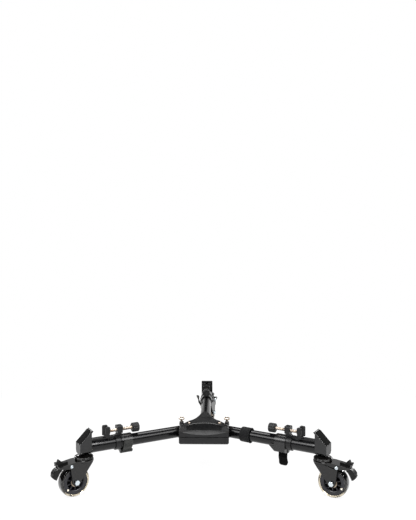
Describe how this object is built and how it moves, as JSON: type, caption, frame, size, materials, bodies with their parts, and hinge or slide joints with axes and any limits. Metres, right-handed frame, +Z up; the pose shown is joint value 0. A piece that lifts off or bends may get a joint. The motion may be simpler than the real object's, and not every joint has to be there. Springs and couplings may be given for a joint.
{
  "type": "tripod dolly",
  "caption": "Folding three-arm dolly with a carry-grip hub, telescoping tubes, screw foot clamps and braked swivel casters.",
  "frame": {"origin": "on the floor under the middle of the dolly's bounding box", "axes": "+Z up, +Y along the fixed rear arm away from the carry grip, +X to the right as seen from the grip's side"},
  "size_m": [0.742, 0.718, 0.158],
  "materials": {
    "tube": "satin",
    "plastic": "textured",
    "painted": "powder coated",
    "gloss": "gloss",
    "gloss_metal": "gloss",
    "tan": "plated",
    "zinc": "zinc plated",
    "strap": "woven",
    "tread": "smooth"
  },
  "bodies": {
    "hub": {"hub_top_cover": "plastic", "hub_lower_housing": "plastic", "left_pivot_bolt": "tan", "right_pivot_bolt": "tan", "rear_inner_tube": "tube"},
    "left_plunger": {"left_lock_plunger": "tan"},
    "right_plunger": {"right_lock_plunger": "tan"},
    "left_arm": {"left_knuckle": "painted", "left_inner_tube": "tube"},
    "right_arm": {"right_knuckle": "painted", "right_inner_tube": "tube", "right_strap": "strap"},
    "left_outer": {"left_outer_tube": "tube", "left_lock_collar": "plastic", "left_lever_pin": "zinc", "left_clamp_post": "painted", "left_end_bracket": "painted", "left_caster_head": "gloss_metal"},
    "left_lever": {"left_lock_lever": "plastic"},
    "left_jaw": {"left_clamp_jaw": "plastic"},
    "left_screw": {"left_clamp_screw": "tan", "left_clamp_knob": "plastic"},
    "left_caster": {"left_caster_fork": "painted", "left_axle_bolt": "zinc", "left_brake_pin": "zinc"},
    "left_wheel": {"left_wheel_core": "plastic", "left_tyre": "tread"},
    "left_pedal": {"left_brake_pedal": "gloss"},
    "right_outer": {"right_outer_tube": "tube", "right_lock_collar": "plastic", "right_lever_pin": "zinc", "right_clamp_post": "painted", "right_end_bracket": "painted", "right_caster_head": "gloss_metal"},
    "right_lever": {"right_lock_lever": "plastic"},
    "right_jaw": {"right_clamp_jaw": "plastic"},
    "right_screw": {"right_clamp_screw": "tan", "right_clamp_knob": "plastic"},
    "right_caster": {"right_caster_fork": "painted", "right_axle_bolt": "zinc", "right_brake_pin": "zinc"},
    "right_wheel": {"right_wheel_core": "plastic", "right_tyre": "tread"},
    "right_pedal": {"right_brake_pedal": "gloss"},
    "rear_outer": {"rear_outer_tube": "tube", "rear_lock_collar": "plastic", "rear_lever_pin": "zinc", "rear_clamp_post": "painted", "rear_end_bracket": "painted", "rear_caster_head": "gloss_metal"},
    "rear_lever": {"rear_lock_lever": "plastic"},
    "rear_jaw": {"rear_clamp_jaw": "plastic"},
    "rear_screw": {"rear_clamp_screw": "tan", "rear_clamp_knob": "plastic"},
    "rear_caster": {"rear_caster_fork": "painted", "rear_axle_bolt": "zinc", "rear_brake_pin": "zinc"},
    "rear_wheel": {"rear_wheel_core": "plastic", "rear_tyre": "tread"},
    "rear_pedal": {"rear_brake_pedal": "gloss"}
  },
  "joints": [
    {"name": "left_fold", "type": "hinge", "parent": "hub", "child": "left_arm", "pos_m": [-0.04471, -0.1537, 0.1143], "axis": [0, 0, -1], "range_deg": [0, 116]},
    {"name": "left_plunger_lift", "type": "slide", "parent": "hub", "child": "left_plunger", "axis": [0, 0, 1], "range_m": [0, 0.006], "stiffness_N_per_m": 250, "springref_m": -0.002},
    {"name": "right_fold", "type": "hinge", "parent": "hub", "child": "right_arm", "pos_m": [0.03843, -0.1537, 0.1143], "axis": [0, 0, 1], "range_deg": [0, 116]},
    {"name": "right_plunger_lift", "type": "slide", "parent": "hub", "child": "right_plunger", "axis": [0, 0, 1], "range_m": [0, 0.006], "stiffness_N_per_m": 250, "springref_m": -0.002},
    {"name": "left_telescope", "type": "slide", "parent": "left_arm", "child": "left_outer", "axis": [-0.866, -0.5, 0], "range_m": [-0.03, 0.06]},
    {"name": "left_lever_flip", "type": "hinge", "parent": "left_outer", "child": "left_lever", "pos_m": [-0.20189, -0.25196, 0.0898], "axis": [0.866, 0.5, 0], "range_deg": [0, 144.5]},
    {"name": "left_jaw_slide", "type": "slide", "parent": "left_outer", "child": "left_jaw", "axis": [-0.866, -0.5, 0], "range_m": [-0.0125, 0.0225]},
    {"name": "left_screw_spin", "type": "hinge", "parent": "left_jaw", "child": "left_screw", "pos_m": [-0.22008, -0.25495, 0.1452], "axis": [-0.866, -0.5, 0], "range_deg": [-3601, 6481]},
    {"name": "left_caster_swivel", "type": "hinge", "parent": "left_outer", "child": "left_caster", "pos_m": [-0.30045, -0.30135, 0.086], "axis": [0, 0, 1], "continuous": true},
    {"name": "left_wheel_spin", "type": "hinge", "parent": "left_caster", "child": "left_wheel", "pos_m": [-0.32188, -0.3181, 0.0375], "axis": [0.6157, -0.788, 0], "continuous": true},
    {"name": "left_brake_press", "type": "hinge", "parent": "left_caster", "child": "left_pedal", "pos_m": [-0.33197, -0.32598, 0.0787], "axis": [0.6157, -0.788, 0], "range_deg": [0, 14]},
    {"name": "right_telescope", "type": "slide", "parent": "right_arm", "child": "right_outer", "axis": [0.866, -0.5, 0], "range_m": [-0.03, 0.06]},
    {"name": "right_lever_flip", "type": "hinge", "parent": "right_outer", "child": "right_lever", "pos_m": [0.20211, -0.2407, 0.0898], "axis": [-0.866, 0.5, 0], "range_deg": [-144.5, 0]},
    {"name": "right_jaw_slide", "type": "slide", "parent": "right_outer", "child": "right_jaw", "axis": [0.866, -0.5, 0], "range_m": [-0.0125, 0.0225]},
    {"name": "right_screw_spin", "type": "hinge", "parent": "right_jaw", "child": "right_screw", "pos_m": [0.2138, -0.25495, 0.1452], "axis": [0.866, -0.5, 0], "range_deg": [-3601, 6481]},
    {"name": "right_caster_swivel", "type": "hinge", "parent": "right_outer", "child": "right_caster", "pos_m": [0.29417, -0.30135, 0.086], "axis": [0, 0, 1], "continuous": true},
    {"name": "right_wheel_spin", "type": "hinge", "parent": "right_caster", "child": "right_wheel", "pos_m": [0.318, -0.31446, 0.0375], "axis": [0.4818, 0.8763, 0], "continuous": true},
    {"name": "right_brake_press", "type": "hinge", "parent": "right_caster", "child": "right_pedal", "pos_m": [0.32922, -0.32062, 0.0787], "axis": [0.4818, 0.8763, 0], "range_deg": [0, 14]},
    {"name": "rear_telescope", "type": "slide", "parent": "hub", "child": "rear_outer", "axis": [0, 1, 0], "range_m": [-0.03, 0.06]},
    {"name": "rear_lever_flip", "type": "hinge", "parent": "rear_outer", "child": "rear_lever", "pos_m": [-0.01763, 0.16625, 0.0935], "axis": [0, -1, 0], "range_deg": [-12, 132.5]},
    {"name": "rear_jaw_slide", "type": "slide", "parent": "rear_outer", "child": "rear_jaw", "axis": [0, 1, 0], "range_m": [-0.0125, 0.0225]},
    {"name": "rear_screw_spin", "type": "hinge", "parent": "rear_jaw", "child": "rear_screw", "pos_m": [-0.00314, 0.1835, 0.1452], "axis": [0, 1, 0], "range_deg": [-3601, 6481]},
    {"name": "rear_caster_swivel", "type": "hinge", "parent": "rear_outer", "child": "rear_caster", "pos_m": [-0.00314, 0.2763, 0.086], "axis": [0, 0, 1], "continuous": true},
    {"name": "rear_wheel_spin", "type": "hinge", "parent": "rear_caster", "child": "rear_wheel", "pos_m": [0.0039, 0.30257, 0.0375], "axis": [-0.9659, 0.2588, 0], "continuous": true},
    {"name": "rear_brake_press", "type": "hinge", "parent": "rear_caster", "child": "rear_pedal", "pos_m": [0.00721, 0.31493, 0.0787], "axis": [-0.9659, 0.2588, 0], "range_deg": [0, 14]}
  ],
  "couplings": [
    {"joint": "left_screw_spin", "follows": "left_jaw_slide", "rad_per_m": 5026.5},
    {"joint": "right_screw_spin", "follows": "right_jaw_slide", "rad_per_m": 5026.5},
    {"joint": "rear_screw_spin", "follows": "rear_jaw_slide", "rad_per_m": 5026.5}
  ]
}
